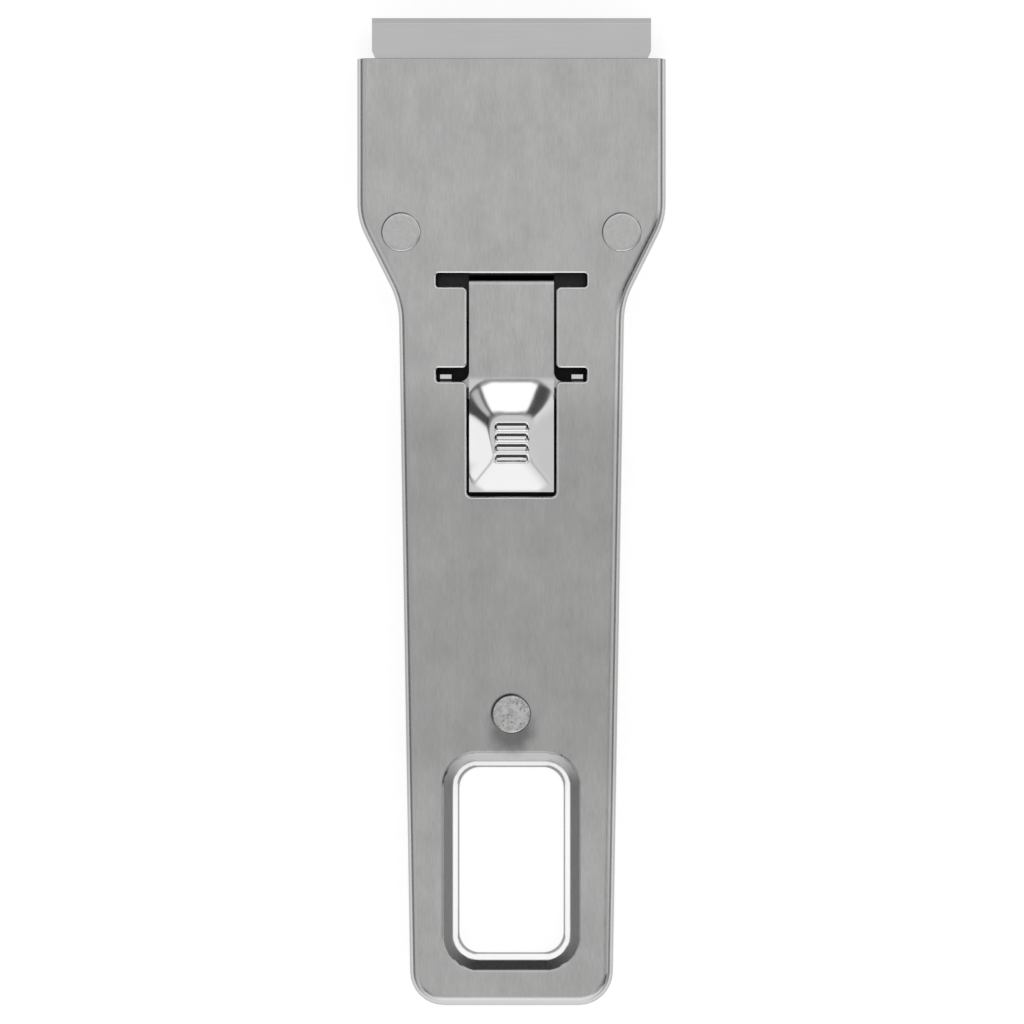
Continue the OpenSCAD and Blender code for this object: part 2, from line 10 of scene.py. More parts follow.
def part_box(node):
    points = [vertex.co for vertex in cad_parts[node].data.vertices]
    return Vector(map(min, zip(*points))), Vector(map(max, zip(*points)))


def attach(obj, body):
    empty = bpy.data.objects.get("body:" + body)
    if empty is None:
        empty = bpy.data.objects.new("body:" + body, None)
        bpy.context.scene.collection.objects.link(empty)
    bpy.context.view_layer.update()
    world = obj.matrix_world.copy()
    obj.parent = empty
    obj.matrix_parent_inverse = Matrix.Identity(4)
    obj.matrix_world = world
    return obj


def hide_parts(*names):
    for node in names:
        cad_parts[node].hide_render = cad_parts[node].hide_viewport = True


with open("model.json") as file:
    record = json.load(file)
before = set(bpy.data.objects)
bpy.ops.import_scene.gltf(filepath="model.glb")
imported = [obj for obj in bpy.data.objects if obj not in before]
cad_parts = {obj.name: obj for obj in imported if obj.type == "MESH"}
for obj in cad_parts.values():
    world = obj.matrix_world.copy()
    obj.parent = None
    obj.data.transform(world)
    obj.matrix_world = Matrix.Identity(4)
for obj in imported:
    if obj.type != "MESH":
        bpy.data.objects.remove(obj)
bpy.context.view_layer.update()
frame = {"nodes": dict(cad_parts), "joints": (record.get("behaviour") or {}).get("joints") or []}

bl_info = {
    "name": "Razor blade scraper",
    "version": (1, 0, 0),
    "blender": (4, 5, 0),
    "location": "3D View > Sidebar > Scraper",
    "description": "Builds the trays, rivets, thumb catch, blade and stage of a steel scraper",
    "category": "Object",
}

MM = 0.001
# Cells of the thumb pad's grid, sides of a turned rivet, and steps in each rounded bend
PAD_COLUMNS = 84
PAD_ROWS = 170
RIVET_SIDES = 72
BEND_STEPS = 6
# Play allowed when points are picked by their place, and distance at which points are merged
TINY = 0.002 * MM
SAME_PLACE = 0.0005 * MM
# Widths over which the dish's front and rear creases are rounded, as shares of its depth
FRONT_CREASE = 0.8
REAR_CREASE = 0.6
# Length over which the lean of the dish's hips fades out, in lengths of its front slope
HIP_FADE = 1.3
# Places along Y between which the darkening under the hand comes in and goes out
GRIP_TAIL = (-46 * MM, -30 * MM)
GRIP_HEAD = (9 * MM, 21 * MM)
# Width of the blade's ground edge
GROUND_EDGE = 0.8 * MM
# Distance of the floor below the back face
FLOOR_DROP = 0.5 * MM
TRAY_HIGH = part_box("front_shell")[1]
CATCH_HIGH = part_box("thumb_catch")[1]
CATCH_HINGE = next(j for j in frame["joints"] if j["type"] == "hinge")


def length(name, description, default):
    """A length in metres that the user can change."""
    return bpy.props.FloatProperty(
        name=name, description=description, default=default, unit="LENGTH", precision=5)


def share(name, description, default):
    """A share between 0 and 1 that the user can change."""
    return bpy.props.FloatProperty(
        name=name, description=description, default=default, min=0, max=1, subtype="FACTOR")


def level(name, description, default):
    """A strength of light that the user can change."""
    return bpy.props.FloatProperty(name=name, description=description, default=default, min=0)


def tint(name, description, default):
    """A colour that the user can change."""
    return bpy.props.FloatVectorProperty(
        name=name, description=description, default=default, size=3, min=0, max=1, subtype="COLOR")


class SteelSettings(bpy.types.PropertyGroup):
    """Colours and finish of the steel."""

    plate: tint("Plate", "Brushed steel of the two trays", (0.63, 0.63, 0.625))
    bend: tint("Bends", "Steel of the trays where bending has polished it", (0.62, 0.62, 0.62))
    # Painted shade: the outer walls get a darker copy of the plate's steel.
    side: tint("Sides", "Steel of the trays' outer walls", (0.44, 0.44, 0.44))
    # Painted reflection: the opening's rim walls get a brighter copy of the steel, as if they showed the
    # white floor.
    wall: tint("Rim walls", "Steel of the opening's walls, polished most of all", (0.92, 0.92, 0.92))
    edge: tint("Cut edges", "Bright steel of the slots' cut edges and the rivets' rims", (0.86, 0.86, 0.86))
    # Painted shade: the trays' inside faces are coloured near black for the shade that falls there.
    inside: tint("Inside", "Dull steel on the inside of the trays", (0.05, 0.05, 0.05))
    blade: tint("Blade", "Ground steel of the blade", (0.73, 0.73, 0.73))
    rivet: tint("Rivets", "Steel of the rivet heads", (0.67, 0.67, 0.665))
    # Painted shade: the carriage, spacers and small rivets are coloured near black for the shade under the
    # trays, where they show through the slots.
    carriage: tint("Carriage", "Dull steel of the carriage and the spacers", (0.055, 0.055, 0.055))
    dish: tint("Thumb dish", "Polished steel of the thumb dish", (0.88, 0.88, 0.88))
    plate_rough: share("Plate roughness", "Roughness of the brushed steel", 0.38)
    bend_rough: share("Bend roughness", "Roughness of the bends and the drawn rim", 0.20)
    edge_rough: share("Edge roughness", "Roughness of the cut edges", 0.22)
    dish_rough: share("Dish roughness", "Roughness of the polished dish", 0.12)
    brushing: share("Brushing", "Depth of colour in the brushed lines", 0.28)
    handling: share("Handling", "Share by which the steel is darker where the hand holds it", 0.17)


class TraySettings(bpy.types.PropertyGroup):
    """Sizes of the pressed trays and their rivets that the looks need."""

    sheet: length("Sheet", "Thickness of the trays' sheet", 0.8 * MM)
    opening_y: length("Opening", "Middle of the hanging opening along Y", -49.375 * MM)
    opening_width: length("Opening width", "Clear width of the front tray's opening", 15.1 * MM)
    opening_length: length("Opening length", "Clear length of the front tray's opening", 26.6 * MM)
    opening_radius: length("Opening radius", "Corner radius of the opening", 2.9 * MM)
    rim_width: length("Rim width", "Width of the drawn rim and the strip round it", 3.4 * MM)
    slot_break: length("Slot break", "Width by which the edges of the slots are rounded off", 0.28 * MM)
    edge_break: length("Edge break", "Width by which the other edges are rounded off", 0.1 * MM)
    head_radius: length("Head radius", "Radius of a rivet's head", 2.7 * MM)
    shank_radius: length("Shank radius", "Radius of a rivet's shank", 2.0 * MM)
    sunk: length("Sunk", "Depth of a rivet's end under the back face", 0.05 * MM)


class CatchSettings(bpy.types.PropertyGroup):
    """Sizes of the thumb catch, measured from the hinge unless they say otherwise."""

    width: length("Width", "Width of the tongue and the thumb pad", 12 * MM)
    sheet: length("Sheet", "Thickness of the sheet", 0.6 * MM)
    rest_tilt: bpy.props.FloatProperty(
        name="Tilt", description="Angle by which the catch is rocked down at rest",
        default=math.radians(1.43454), unit="ROTATION")
    top: length("Top", "Height of the catch's upper face over the hinge", 1.48 * MM)
    root_front: length("Root", "Distance from the hinge to the root's front edge", 2.2 * MM)
    tongue_front: length("Tongue", "Distance from the hinge back to the tongue's front edge", 5.773 * MM)
    step_radius: length("Step radius", "Radius of the step's bends, in the middle of the sheet", 0.7 * MM)
    pad_front: length("Pad", "Distance from the hinge back to the thumb pad", 18.073 * MM)
    pad_length: length("Pad length", "Length of the thumb pad", 17 * MM)
    dish_depth: length("Dish depth", "Depth of the dish", 1.5 * MM)
    floor_length: length("Floor length", "Length of the dish's floor", 6.4 * MM)
    floor_width: length("Floor width", "Width of the dish's floor", 4.8 * MM)
    lip: length("Lip", "Length of flat sheet in front of the dish", 0.9 * MM)
    front_slope: length("Front slope", "Distance from the pad's front edge to the dish's floor", 6.2 * MM)
    hip_lean: share("Hip lean", "Share by which the front hips spread over the side walls", 0.3)
    ridges: bpy.props.IntProperty(name="Ridges", description="Number of grip ridges", default=4, min=1, max=8)
    ridge_start: length("Ridge start", "Distance from the floor's front to the first ridge's foot", 0.75 * MM)
    ridge_pitch: length("Ridge pitch", "Distance between two ridges", 1.5 * MM)
    ridge_height: length("Ridge height", "Height of a grip ridge", 0.4 * MM)
    ridge_reach: length("Ridge reach", "Half the width of a grip ridge at its foot", 0.72 * MM)
    ridge_lean: length("Ridge lean", "Distance of a ridge's crest towards the tail", 0.17 * MM)
    ridge_end: length("Ridge end", "Distance over which a grip ridge falls off at its ends", 0.6 * MM)
    wing_front: length("Wing", "Distance from the hinge back to the wings' front edge", 19.453 * MM)
    wing_length: length("Wing length", "Length of a wing", 2.4 * MM)
    wing_reach: length("Wing reach", "Distance by which a wing stands out", 4.1 * MM)
    tab_width: length("Tab width", "Width of a lock tab", 1.6 * MM)
    tab_front: length("Tab", "Distance from the hinge back to a lock tab's front face", 19.03 * MM)
    tab_height: length("Tab height", "Height of a lock tab over the catch", 0.47 * MM)
    pin_span: length("Pin span", "Distance between the holes for the small rivets", 6.4 * MM)
    pin_hole: length("Pin hole", "Diameter of a hole for a small rivet", 2.2 * MM)


class StageSettings(bpy.types.PropertyGroup):
    """Floor, surroundings and camera."""

    view_width: length("View width", "Width of the square view at the top face", 144.72 * MM)
    camera_height: length("Camera height", "Height of the camera over the top face", 0.7)
    overhead: level("Overhead", "Light straight above", 0.64)
    tail_panel: level("Tail panel", "Light from the high panel on the tail's side", 1.20)
    blade_panel: level("Blade panel", "Light from the high panel on the blade's side", 1.02)
    right_panel: level("Right panel", "Light from the high panel on the right", 0.98)
    left_panel: level("Left panel", "Light from the high panel on the left", 0.62)
    tail_gap: level("Tail gaps", "Light from the gaps between the panels on the tail's side", 0.06)
    blade_gap: level("Blade gaps", "Light from the gaps between the panels on the blade's side", 0.45)
    lamp: level("Lamp", "Light from the lamp in the gap on the right of the tail's side", 0.55)
    strip: share("Dark strip", "Depth of the dark strip between the overhead light and the panels", 0.7)
    tail_low: level("Tail low", "Light from low down on the tail's side", 1.05)
    blade_low: level("Blade low", "Light from low down on the blade's side", 0.05)
    right_low: level("Right low", "Light from low down on the right", 0.285)
    left_low: level("Left low", "Light from low down on the left", 0.235)
    floor: share("Floor", "Share of light that the floor scatters", 0.5)
    floor_glow: level("Floor glow", "Brightness added so that the floor looks white", 0.74)


def select_only(obj):
    """Selects one object alone and makes it active."""
    bpy.ops.object.select_all(action="DESELECT")
    obj.select_set(True)
    bpy.context.view_layer.objects.active = obj


def apply_modifier(obj, kind, **values):
    """Adds a modifier with these values and applies it."""
    select_only(obj)
    modifier = obj.modifiers.new(kind.title(), kind)
    for name, value in values.items():
        setattr(modifier, name, value)
    if bpy.ops.object.modifier_apply(modifier=modifier.name) != {"FINISHED"}:
        raise RuntimeError("the modifier " + kind + " could not be applied to " + obj.name)


def middle_of(node):
    """Middle of a node's box."""
    low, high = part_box(node)
    return (low + high) / 2


def hand_over(obj, node, body, slot, *materials):
    """Lets a finished piece stand for a node, on its body and with its materials."""
    if not obj.data.materials:
        for material in materials:
            obj.data.materials.append(material)
    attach(obj, body)
    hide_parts(node)


class Network:
    """Builds a network of shader nodes, one step at a time."""

    def __init__(self, tree, coordinates):
        self.tree = tree
        outputs = tree.nodes.new("ShaderNodeTexCoord").outputs
        self.place = outputs[coordinates]
        self.facing = outputs["Normal"]

    def join(self, value, socket):
        """Links a socket, or sets a plain value."""
        if isinstance(value, bpy.types.NodeSocket):
            self.tree.links.new(value, socket)
        else:
            socket.default_value = value

    def math(self, operation, a, b=0.0, c=0.0):
        """One sum on numbers."""
        node = self.tree.nodes.new("ShaderNodeMath")
        node.operation = operation
        for value, socket in zip((a, b, c), node.inputs):
            self.join(value, socket)
        return node.outputs[0]

    def blend(self, share_of_b, a, b):
        """A number between two numbers."""
        step = self.math("SUBTRACT", b, a)
        return self.math("ADD", self.math("MULTIPLY", share_of_b, step), a)

    def hypotenuse(self, x, y):
        """Length of the long side over two short sides."""
        squares = self.math("ADD", self.math("MULTIPLY", x, x), self.math("MULTIPLY", y, y))
        return self.math("SQRT", squares)

    def uprightness(self):
        """How far the surface faces along Z, from 0 for a wall to 1 for a level face."""
        split = self.tree.nodes.new("ShaderNodeSeparateXYZ")
        self.join(self.facing, split.inputs[0])
        return self.math("ABSOLUTE", split.outputs[2])

    def axes(self, offset=(0, 0, 0)):
        """Distances along X, Y and Z from a point of the object."""
        node = self.tree.nodes.new("ShaderNodeVectorMath")
        node.operation = "SUBTRACT"
        self.join(self.place, node.inputs[0])
        node.inputs[1].default_value = offset
        split = self.tree.nodes.new("ShaderNodeSeparateXYZ")
        self.join(node.outputs[0], split.inputs[0])
        return split.outputs

    def ramp(self, value, low, high, at_low=0.0, at_high=1.0):
        """A smooth change from at_low to at_high as value goes from low to high."""
        node = self.tree.nodes.new("ShaderNodeMapRange")
        node.interpolation_type = "SMOOTHSTEP"
        for socket, item in zip(("Value", "From Min", "From Max", "To Min", "To Max"),
                                (value, low, high, at_low, at_high)):
            self.join(item, node.inputs[socket])
        return node.outputs[0]

    def noise(self, scale, detail=2.0, rough=0.5, offset=(0, 0, 0)):
        """Noise with its own scale along each axis, per metre."""
        mapping = self.tree.nodes.new("ShaderNodeMapping")
        self.join(self.place, mapping.inputs["Vector"])
        mapping.inputs["Scale"].default_value = scale
        mapping.inputs["Location"].default_value = offset
        node = self.tree.nodes.new("ShaderNodeTexNoise")
        self.join(mapping.outputs[0], node.inputs["Vector"])
        node.inputs["Scale"].default_value = 1.0
        node.inputs["Detail"].default_value = detail
        node.inputs["Roughness"].default_value = rough
        return node.outputs["Fac"]

    def mix(self, share_of_b, a, b):
        """A colour between two colours."""
        node = self.tree.nodes.new("ShaderNodeMix")
        node.data_type = "RGBA"
        self.join(share_of_b, node.inputs["Factor"])
        for value, socket in ((a, node.inputs[6]), (b, node.inputs[7])):
            self.join(value if isinstance(value, bpy.types.NodeSocket) else (*value, 1.0), socket)
        return node.outputs[2]

    def shade(self, colour, by):
        """A colour made darker or lighter by a number."""
        node = self.tree.nodes.new("ShaderNodeVectorMath")
        node.operation = "SCALE"
        self.join(colour if isinstance(colour, bpy.types.NodeSocket) else tuple(colour), node.inputs[0])
        self.join(by, node.inputs["Scale"])
        return node.outputs[0]


class Finish(Network):
    """Builds one procedural material."""

    def __init__(self, name):
        self.material = bpy.data.materials.new(name)
        self.material.use_nodes = True
        super().__init__(self.material.node_tree, "Object")
        self.shader = self.tree.nodes["Principled BSDF"]
        self.shader.inputs["Metallic"].default_value = 1.0

    def bump(self, height, strength, distance):
        """Unevenness of the surface."""
        node = self.tree.nodes.new("ShaderNodeBump")
        node.inputs["Strength"].default_value = strength
        node.inputs["Distance"].default_value = distance
        self.join(height, node.inputs["Height"])
        self.join(node.outputs[0], self.shader.inputs["Normal"])

    def finish(self, colour, roughness):
        """Sets what the shader shows."""
        self.join(colour, self.shader.inputs["Base Color"])
        self.join(roughness, self.shader.inputs["Roughness"])
        return self.material


def brushed(finish, depth):
    """Fine lines along Y, and the number by which they change the colour."""
    fine = finish.noise((7000, 600, 7000), 3.0, 0.65)
    broad = finish.noise((1500, 110, 1500), 2.0, 0.5, (3, 1, 0))
    cloud = finish.noise((260, 170, 260), 4.0, 0.55, (7, 5, 0))
    lines = finish.math("ADD", finish.math("MULTIPLY", fine, 0.75), finish.math("MULTIPLY", broad, 0.25))
    change = finish.math("MULTIPLY", finish.math("SUBTRACT", lines, 0.5), 2.0 * depth)
    soft = finish.math("MULTIPLY", finish.math("SUBTRACT", cloud, 0.5), 1.2 * depth)
    return lines, finish.math("ADD", finish.math("ADD", change, soft), 1.0)


def rivet_shadow(made, node, radius, width, depth):
    """Number that darkens the plate round a rivet, most on its upper left: a painted shadow of the rivet's
    head.
    """
    spot = middle_of(node)
    x, y, _ = made.axes((spot.x, spot.y, 0))
    away = made.hypotenuse(x, y)
    side = made.math("DIVIDE", made.math("SUBTRACT", y, x), made.math("MAXIMUM", away, 0.1 * MM))
    facing = made.ramp(side, -0.1, 1.2, 0.0, 1.0)
    ring = made.math("MULTIPLY", made.ramp(away, radius, radius + width, depth, 0.0), facing)
    return made.math("SUBTRACT", 1.0, ring)


def shade_and_wear(made, steel, sizes):
    """Number that darkens the plate: painted shadows round the rivets, wear under the hand, and a darker
    patch below the tail rivet.
    """
    change = 1.0
    # Painted shadows round the three rivets, deepest round the tail rivet.
    edge = sizes.head_radius + 0.05 * MM
    for node, width, depth in (("head_rivet_left", 0.16 * MM, 0.75), ("head_rivet_right", 0.16 * MM, 0.75),
                               ("tail_rivet", 0.34 * MM, 0.95)):
        change = made.math("MULTIPLY", change, rivet_shadow(made, node, edge, width, depth))
    y = made.axes()[1]
    held = made.math("MULTIPLY", made.ramp(y, *GRIP_HEAD, 1.0, 0.0), made.ramp(y, *GRIP_TAIL))
    change = made.math("MULTIPLY", change, made.ramp(held, 0.0, 1.0, 1.0, 1.0 - steel.handling))
    # A darker ragged patch round and below the tail rivet.
    tail = middle_of("tail_rivet")
    x, y, _ = made.axes((tail.x, tail.y - 2.2 * MM, 0))
    patches = made.noise((420, 420, 420), 3.0, 0.6, (9, 2, 4))
    smear = made.math("ADD", made.hypotenuse(x, y), made.math("MULTIPLY", patches, 2.0 * MM))
    return made.math("MULTIPLY", change, made.ramp(smear, 2.6 * MM, 5.4 * MM, 0.50, 1.0))


def bent_steel_and_painted_light(made, steel, sizes, tilt):
    """Colour of the bends, the outer walls and the opening's rim, with painted shade on the outer walls, a
    painted reflection on the rim walls and painted shade where a bend begins.
    """
    x, y, _ = made.axes((0, sizes.opening_y, 0))
    beside = made.math("SUBTRACT", made.math("ABSOLUTE", x), sizes.opening_width / 2)
    beyond = made.math("SUBTRACT", made.math("ABSOLUTE", y), sizes.opening_length / 2)
    from_opening = made.math("MAXIMUM", beside, beyond)
    at_rim = made.ramp(from_opening, 2 * MM, 3 * MM, 1.0, 0.0)
    # Painted light: a darker copy of the steel on the outer walls as painted shade, and a brighter one on the
    # opening's rim walls as a painted reflection of the floor.
    walls = made.mix(at_rim, tuple(steel.side), tuple(steel.wall))
    steep = made.ramp(tilt, 0.45, 0.64, 1.0, 0.0)
    bend_and_painted_walls = made.mix(steep, tuple(steel.bend), walls)
    # Painted shade in the band where a bend begins.
    near_rim = made.ramp(from_opening, sizes.rim_width, sizes.rim_width + 0.6 * MM, 1.0, 0.0)
    crease_end = made.blend(near_rim, 0.95, 0.80)
    begun = made.ramp(tilt, crease_end, made.math("ADD", crease_end, 0.03))
    crease = made.math("MULTIPLY", begun, made.ramp(tilt, 0.990, 0.998, 1.0, 0.0))
    return made.shade(bend_and_painted_walls, made.ramp(crease, 0.0, 1.0, 1.0, 0.68))


def tray_finish(steel, sizes):
    """Brushed steel that is polished where the sheet is bent, with painted shade and a painted reflection on
    the bends and walls, painted shadows round the rivets, and darker under the hand and round the tail rivet.
    """
    made = Finish("tray_steel")
    lines, grain = brushed(made, steel.brushing)
    tilt = made.uprightness()
    bent = made.ramp(tilt, 0.92, 0.992, 1.0, 0.0)
    colour = made.mix(bent, made.shade(steel.plate, grain), bent_steel_and_painted_light(made, steel, sizes, tilt))
    # Painted shadows round the rivets, wear under the hand and a darker patch at the tail rivet.
    colour = made.shade(colour, shade_and_wear(made, steel, sizes))
    rough = made.ramp(lines, 0.3, 0.7, steel.plate_rough - 0.05, steel.plate_rough + 0.05)
    polish = made.math("MULTIPLY", bent, steel.bend_rough - steel.plate_rough)
    made.bump(made.math("MULTIPLY", lines, made.math("SUBTRACT", 1.0, bent)), 0.10, 0.02 * MM)
    return made.finish(colour, made.math("ADD", rough, polish))


def plain_steel(name, colour, rough, depth, scale, facet_y=None):
    """Steel with a fine grain, or smooth steel that is darker beyond facet_y where an edge is ground."""
    made = Finish(name)
    grain = made.noise(scale, 3.0, 0.6)
    cloud = made.noise((160, 160, 160), 2.0, 0.5, (2, 4, 6))
    change = made.math("MULTIPLY", made.math("SUBTRACT", grain, 0.5), 2.0 * depth)
    change = made.math("ADD", change, made.math("MULTIPLY", made.math("SUBTRACT", cloud, 0.5), depth))
    change = made.math("ADD", change, 1.0)
    if facet_y is None:
        made.bump(grain, 0.3 * depth, 0.02 * MM)
        rough = made.ramp(grain, 0.3, 0.7, rough - 0.05, rough + 0.05)
    else:
        beyond = made.axes((0, facet_y, 0))[1]
        change = made.math("MULTIPLY", change, made.ramp(beyond, 0.0, 0.1 * MM, 1.0, 0.74))
    return made.finish(made.shade(colour, change), rough)


def flush_steel(steel):
    """Steel of a flush rivet head, polished on its rounded rim."""
    made = Finish("rivet_steel")
    grain = made.noise((1800, 1800, 1800), 3.0, 0.6)
    change = made.ramp(grain, 0.25, 0.75, 0.93, 1.07)
    rim = made.ramp(made.uprightness(), 0.80, 0.985, 1.0, 0.0)
    rough = made.math("SUBTRACT", 0.36, made.math("MULTIPLY", rim, 0.18))
    made.bump(grain, 0.05, 0.02 * MM)
    return made.finish(made.shade(made.mix(rim, tuple(steel.rivet), tuple(steel.edge)), change), rough)


def peened_steel(steel):
    """Mottled steel of a hammered rivet head."""
    made = Finish("peened_steel")
    dents = made.noise((1500, 1500, 1500), 3.0, 0.6)
    patch = made.noise((420, 420, 420), 2.0, 0.5, (1, 2, 3))
    change = made.ramp(dents, 0.35, 0.60, 0.80, 1.10)
    specks = made.ramp(made.noise((2600, 2600, 2600), 2.0, 0.5, (4, 8, 1)), 0.30, 0.42, 0.55, 1.0)
    change = made.math("MULTIPLY", change, specks)
    made.bump(made.math("ADD", dents, patch), 0.30, 0.05 * MM)
    return made.finish(made.shade(steel.rivet, change), made.ramp(patch, 0.3, 0.7, 0.30, 0.45))


def catch_finish(steel, sizes, pad_y):
    """Brushed tongue that turns into a polished dish, with painted highlights on the lock tabs' tips and
    painted shade on the wings and the root.
    """
    made = Finish("catch_steel")
    lines, change = brushed(made, steel.brushing)
    x, along, height = made.axes((0, pad_y, CATCH_HIGH.z))
    aside = made.math("ABSOLUTE", x)
    half = sizes.width / 2
    polished = made.math("MULTIPLY", made.ramp(along, -sizes.lip - 0.5 * MM, -sizes.lip + 0.4 * MM, 1.0, 0.0),
                         made.ramp(aside, half - 0.02 * MM, half + 0.05 * MM, 1.0, 0.0))
    # Painted shade: the wings beside the pad and the root ahead of the step are darkened nearly to black.
    wing = made.ramp(aside, half + 1.2 * MM, half + 1.6 * MM)
    behind = made.math("MULTIPLY", made.ramp(aside, half, half + 0.05 * MM),
                       made.ramp(along, -2.4 * MM, -2.0 * MM, 1.0, 0.0))
    wing = made.math("MAXIMUM", wing, behind)
    tongue = sizes.pad_front - sizes.tongue_front
    root = made.ramp(along, tongue + 0.5 * MM, tongue + 0.7 * MM)
    # Painted highlight: the lock tabs' tops get the dish's bright colour.
    tip = made.math("MULTIPLY", wing, made.ramp(height, -0.15 * MM, -0.05 * MM))
    sunk = made.math("MAXIMUM", wing, root)
    change = made.math("MULTIPLY", change, made.math("SUBTRACT", 1.0, made.math("MULTIPLY", sunk, 0.92)))
    polished = made.math("MAXIMUM", polished, tip)
    colour = made.mix(polished, made.shade(steel.plate, change), tuple(steel.dish))
    smear = made.noise((500, 300, 500), 3.0, 0.6, (5, 5, 5))
    rough = made.blend(polished, steel.plate_rough, steel.dish_rough)
    rough = made.math("ADD", rough, made.math("MULTIPLY", made.math("SUBTRACT", smear, 0.5), 0.06))
    made.bump(made.math("ADD", made.math("MULTIPLY", lines, 0.4), smear), 0.04, 0.03 * MM)
    return made.finish(colour, rough)


class SCRAPER_OT_trays(bpy.types.Operator):
    """Rounds the cut edges of the two pressed trays and gives them brushed steel"""

    bl_idname = "scraper.trays"
    bl_label = "Trays"

    def inside(self, face, sizes, out):
        """Tells whether a face is on the inside of a tray whose outer side faces out along Z."""
        outer_z = TRAY_HIGH.z if out > 0 else 0.0
        deep = (outer_z - face.center.z) * out
        if deep < sizes.sheet - 0.01 * MM:
            return False
        away = Vector((face.center.x, face.center.y - sizes.opening_y))
        core = Vector((sizes.opening_width, sizes.opening_length)) / 2 - Vector((sizes.opening_radius,) * 2)
        near = Vector((min(max(away.x, -core.x), core.x), min(max(away.y, -core.y), core.y)))
        from_opening = away - near
        flat = face.normal.xy
        if from_opening.length < sizes.opening_radius + sizes.rim_width:
            at_seam = deep > TRAY_HIGH.z / 2 - 0.1 * MM
            if at_seam:
                return False
            return face.normal.z * out < -0.05 or flat.dot(from_opening) > 0.05 * from_opening.length
        if abs(face.normal.z) > 0.05:
            return face.normal.z * out < 0
        return flat.x * face.center.x + min(flat.y, 0.0) * face.center.y < 0 or flat.y > 0.9

    def mark_slots(self, mesh, out):
        """Gives full bevel weight to the edges of the slots and the window in a tray's outer face."""
        outer_z = TRAY_HIGH.z if out > 0 else 0.0
        beside = {}
        for face in mesh.polygons:
            for key in face.edge_keys:
                beside.setdefault(key, []).append(abs(face.normal.z))
        weights = mesh.attributes.new("bevel_weight_edge", "FLOAT", "EDGE")
        for edge in mesh.edges:
            ends = [mesh.vertices[i].co for i in edge.vertices]
            flush = all(abs(co.z - outer_z) < 0.001 * MM for co in ends)
            within = all(co.y < TRAY_HIGH.y - 1 * MM for co in ends)
            tilts = sorted(beside[edge.key])
            if flush and within and tilts[0] < 0.1 and tilts[-1] > 0.99:
                weights.data[edge.index].value = 1.0

    def execute(self, context):
        sizes = context.scene.scraper_tray
        steel = context.scene.scraper_steel
        outer = tray_finish(steel, sizes)
        bright = plain_steel("cut_edge", steel.edge, steel.edge_rough, 0.06, (1500, 1500, 1500))
        # Painted shade for the trays' inside faces.
        inner = plain_steel("tray_inside_painted_shade", steel.inside, 0.55, 0.10, (900, 900, 900))
        for node, name, out in (("front_shell", "front_tray", 1), ("back_shell", "back_tray", -1)):
            source = frame["nodes"][node]
            tray = bpy.data.objects.new(name, source.data.copy())
            context.scene.collection.objects.link(tray)
            select_only(tray)
            bpy.ops.object.mode_set(mode="EDIT")
            bpy.ops.mesh.select_all(action="SELECT")
            bpy.ops.mesh.remove_doubles(threshold=0.001 * MM)
            bpy.ops.mesh.dissolve_limited(angle_limit=math.radians(0.2))
            bpy.ops.object.mode_set(mode="OBJECT")
            tray.data.materials.clear()
            tray.data.materials.append(outer)
            tray.data.materials.append(inner)
            tray.data.materials.append(bright)
            for face in tray.data.polygons:
                face.material_index = 1 if self.inside(face, sizes, out) else 0
            self.mark_slots(tray.data, out)
            apply_modifier(tray, "BEVEL", width=sizes.slot_break, segments=3, limit_method="WEIGHT",
                           use_clamp_overlap=False, material=2)
            apply_modifier(tray, "BEVEL", width=sizes.edge_break, segments=3, limit_method="ANGLE",
                           angle_limit=math.radians(55), use_clamp_overlap=False, material=0)
            select_only(tray)
            bpy.ops.object.shade_smooth_by_angle(angle=math.radians(30))
            apply_modifier(tray, "WEIGHTED_NORMAL", weight=100, keep_sharp=True)
            hand_over(tray, node, "handle", "tray_steel")
        return {"FINISHED"}


